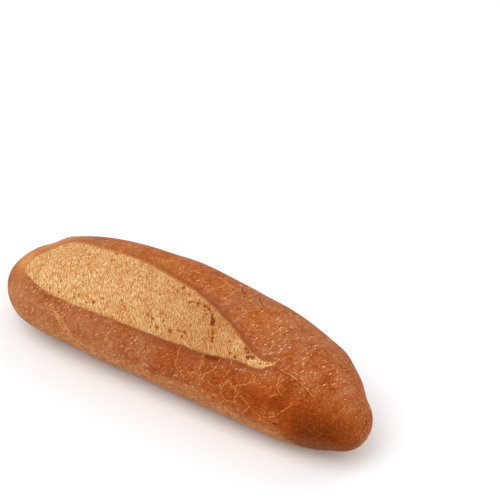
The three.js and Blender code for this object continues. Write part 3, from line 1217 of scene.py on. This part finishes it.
def with_cracks(wire, colour, broken):
    """Adds the cracks: a pale broken rim on the upper side, and a line of painted shadow in the cleft that is
    broken up in places; the pinhole gets the same painted shadow.
    """
    upper = wire.between(wire.mask("crack side"), 0.15, 0.4)
    rim = wire.math("MULTIPLY", upper, thin_line(wire, "crack", CRACK_RIM_LINE))
    rim = wire.math("MULTIPLY", rim, broken)
    colour = wire.mix(wire.math("MULTIPLY", rim, 0.65), colour, CRACK_RIM)
    worn = wire.between(wire.noise((1.3, 1.3, 1.3), (6, 2, 9)), 0.33, 0.45, 0.3, 1.0)
    # painted shadow along the cleft
    strength = wire.between(wire.mask("crack"), 0.1, 0.95)
    cleft_shadow = wire.math("MULTIPLY", thin_line(wire, "crack", CRACK_LINE), strength)
    colour = wire.mix(wire.math("MULTIPLY", cleft_shadow, worn), colour, CRACK_AND_HOLE_SHADOW)
    return wire.mix(wire.between(wire.mask("pinhole"), 0.3, 0.6), colour, CRACK_AND_HOLE_SHADOW)


def crust_colour(wire, dots):
    """The crust's own colour, and its flecks. "Fresh" is low where the crust is dark or beside a lip."""
    browning_and_lip_shade = wire.mask("browning_and_lip_shade")
    quiet = wire.between(wire.mask("beside"), 0.3, 0.8, 1.0, 0.3)
    fresh = wire.math("MULTIPLY", quiet, wire.between(browning_and_lip_shade, 0.5, 0.85, 1.0, 0.25))
    pale = wire.between(fresh, 0.25, 1.0)

    streaks = wire.between(wire.noise_at(wire.grain(*STREAK_GRAIN, 3.3), 3.0, 0.6), 0.51, 0.63, 0.0, 0.4)
    colour = wire.mix(wire.math("MULTIPLY", streaks, fresh), crust_ground(wire), STREAK)

    on_base = wire.math("MULTIPLY", wire.mask("base"), 0.4)
    speckled = wire.math("MAXIMUM", wire.between(fresh, 0.2, 1.0, 0.3, 0.7), on_base)
    specks = wire.math("MULTIPLY", crust_specks(wire, dots), speckled)
    colour = wire.mix(specks, colour, wire.mix(pale, DARK_FLECK, SPECK))

    broken = wire.between(wire.noise((0.9, 0.9, 0.9), (2, 7, 3)), 0.36, 0.56, 0.1, 1.0)
    veins = wire.math("MULTIPLY", thin_line(wire, "vein", VEIN_LINE), broken)
    veins = wire.math("MULTIPLY", veins, wire.between(browning_and_lip_shade, 0.45, 0.6, 0.8, 0.6))
    colour = wire.mix(veins, colour, VEIN)

    flecks = crust_flecks(wire, dots)
    shown = wire.math("MULTIPLY", flecks, wire.between(fresh, 0.2, 1.0, 0.2, 0.9))
    colour = wire.mix(shown, colour, wire.mix(pale, DARK_FLECK, FLECK))
    # The golden rim: partly the crust's paler torn edge, partly painted light that lifts the shade on the
    # groove's walls.
    colour = wire.mix(wire.math("MULTIPLY", wire.mask("rim"), 0.75), colour, GOLDEN)
    colour = with_cracks(wire, colour, broken)

    tone = wire.node("ShaderNodeHueSaturation")
    grainy = wire.noise((0.45, 0.55, 0.55), (5, 5, 1))
    wire.feed(tone.inputs["Value"], wire.between(grainy, 0.25, 0.75, 0.82, 1.18))
    wire.feed(tone.inputs["Color"], colour)
    return tone.outputs["Color"], flecks


def crust_material(dots):
    material, wire, shader = new_material("crust")
    colour, flecks = crust_colour(wire, dots)
    worn = wire.noise((2.5, 3, 3), (2, 2, 2))
    height = wire.math("ADD", wire.noise((0.7, 0.9, 0.9), (7, 7, 1), 3.0), wire.math("MULTIPLY", flecks, 0.5))
    wire.feed(shader.inputs["Base Color"], colour)
    wire.feed(shader.inputs["Roughness"], wire.between(worn, 0.3, 0.7, 0.44, 0.62))
    shader.inputs["Specular IOR Level"].default_value = 0.04
    wire.bump(shader, height, 0.45, 0.12)
    return material


CRUMB_SHADES = (
    (0.2, srgb(184, 110, 50)),
    (0.4, srgb(198, 140, 79)),
    (0.58, srgb(204, 160, 101)),
    (0.78, srgb(230, 204, 157)),
)
STROKE = srgb(190, 120, 58)
# The next three colours are painted shade for the pits and the pores.
PIT_SHADE = srgb(150, 78, 30)
PORE_SHADE = srgb(142, 66, 21)
DULL_PORE_SHADE = srgb(128, 66, 33)
TOASTED_SHADE = srgb(226, 207, 194)
DULL_END = (28, 36)  # towards the narrow end the painted shade in the pores is duller: the change starts and ends here


def crumb_material(dots):
    material, wire, shader = new_material("crumb")
    toasted, pore_shade = wire.mask("toasted"), wire.mask("pore_shade")
    fibres = wire.noise((0.28, 1.6, 1.6), (1, 4, 2), 3.0, 0.65, FIBRE_TURN)
    fluff = wire.noise((0.25, 0.32, 0.32), (6, 1, 8), 2.0, 0.5)
    fluffy = wire.between(toasted, 0.0, 0.7, 0.3, 0.45)
    fibrous = wire.math("MULTIPLY", fibres, wire.math("SUBTRACT", 1.0, fluffy))
    tangle = wire.math("ADD", fibrous, wire.math("MULTIPLY", fluff, fluffy))
    tangle = wire.between(tangle, 0.33, 0.67, 0.0, 0.97)
    patches = wire.between(wire.noise((5, 7, 7), (2, 9, 4), 3.0), 0.3, 0.7, -0.07, 0.07)
    colour = wire.shades(wire.math("ADD", tangle, patches, clamped=True), CRUMB_SHADES)

    strokes = wire.noise((0.4, 2.2, 2.2), (4, 4, 4), 2.0, 0.5, FIBRE_TURN)
    strokes = wire.between(strokes, 0.56, 0.7, 0.0, 0.5)
    strokes = wire.math("MULTIPLY", strokes, wire.between(toasted, 0.2, 0.8, 1.0, 0.4))
    colour = wire.mix(strokes, colour, STROKE)
    # Painted shade: small dark dots standing for the shade in tiny pits.
    pits = wire.group(dots, Vector=wire.place((1.0, 1.3, 1.3), (3, 2, 1)), Share=0.35, Radius=0.4)
    colour = wire.mix(wire.math("MULTIPLY", pits.outputs["Mask"], 0.55), colour, PIT_SHADE)
    colour = wire.mix(toasted, colour, TOASTED_SHADE, "MULTIPLY")

    # Painted shade in and around the pores and the fissure: a dark orange-brown where the holes are, duller
    # towards the narrow end.
    torn = wire.between(wire.noise((0.4, 0.5, 0.5), (8, 5, 2), 2.0, 0.6), 0.3, 0.7, -0.5, 0.4)
    pores = wire.between(wire.math("ADD", pore_shade, torn), 0.3, 0.85)
    pores = wire.math("MULTIPLY", pores, wire.between(pore_shade, 0.0, 0.3))
    start, end = DULL_END
    painted_pore_shade = wire.mix(wire.between(wire.along(), start * MM, end * MM), PORE_SHADE, DULL_PORE_SHADE)
    wire.feed(shader.inputs["Base Color"], wire.mix(pores, colour, painted_pore_shade))
    wire.feed(shader.inputs["Roughness"], wire.between(fluff, 0.3, 0.7, 0.75, 0.92))
    shader.inputs["Specular IOR Level"].default_value = 0.0
    wire.bump(shader, tangle, 0.5, 0.18)
    return material


def floor_material():
    material, _, shader = new_material("floor")
    shader.inputs["Base Color"].default_value = FLOOR_GREY
    shader.inputs["Roughness"].default_value = 0.7
    return material


# ---- The studio ----
def facing(back):
    """The turn of a camera or a lamp that looks against the direction "back"."""
    return (-back).to_track_quat("-Z", "Y").to_euler()


def make_camera():
    azimuth = math.radians(CAMERA_AZIMUTH)
    elevation = math.radians(CAMERA_ELEVATION)
    level = math.cos(elevation)
    back = Vector((math.sin(azimuth) * level, -math.cos(azimuth) * level, math.sin(elevation)))
    camera = bpy.data.objects.new("camera", bpy.data.cameras.new("camera"))
    camera.location = CAMERA_PLACE
    camera.rotation_euler = facing(back)
    camera.data.lens = CAMERA_LENS
    camera.data.clip_start = 0.01
    bpy.context.scene.collection.objects.link(camera)
    bpy.context.scene.camera = camera


def make_lamp(name, place, size, watts):
    lamp = bpy.data.objects.new(name, bpy.data.lights.new(name, "AREA"))
    lamp.location = place
    lamp.rotation_euler = facing(Vector(place))
    lamp.data.shape = "DISK"
    lamp.data.size = size
    lamp.data.energy = watts
    bpy.context.scene.collection.objects.link(lamp)


def make_studio():
    bm = bmesh.new()
    bmesh.ops.create_grid(bm, x_segments=1, y_segments=1, size=FLOOR_HALF)
    bmesh.ops.translate(bm, vec=(0, 0, -FLOOR_GAP), verts=bm.verts)
    mesh = bpy.data.meshes.new("floor")
    bm.to_mesh(mesh)
    bm.free()
    floor = bpy.data.objects.new("floor", mesh)
    floor.data.materials.append(floor_material())
    bpy.context.scene.collection.objects.link(floor)
    for lamp in LAMPS:
        make_lamp(*lamp)
    world = bpy.data.worlds.new("studio")
    world.use_nodes = True
    sky = world.node_tree.nodes["Background"]
    sky.inputs["Color"].default_value = (1, 1, 1, 1)
    sky.inputs["Strength"].default_value = SKY_LIGHT
    bpy.context.scene.world = world
    bpy.context.scene.view_settings.view_transform = "Standard"


# ---- Putting it together ----
make_camera()
make_studio()
dots = dots_group()
for piece, material in ((make_crust(), crust_material(dots)), (make_crumb(), crumb_material(dots))):
    piece.data.materials.append(material)
    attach(piece, "root")
    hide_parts("loaf")
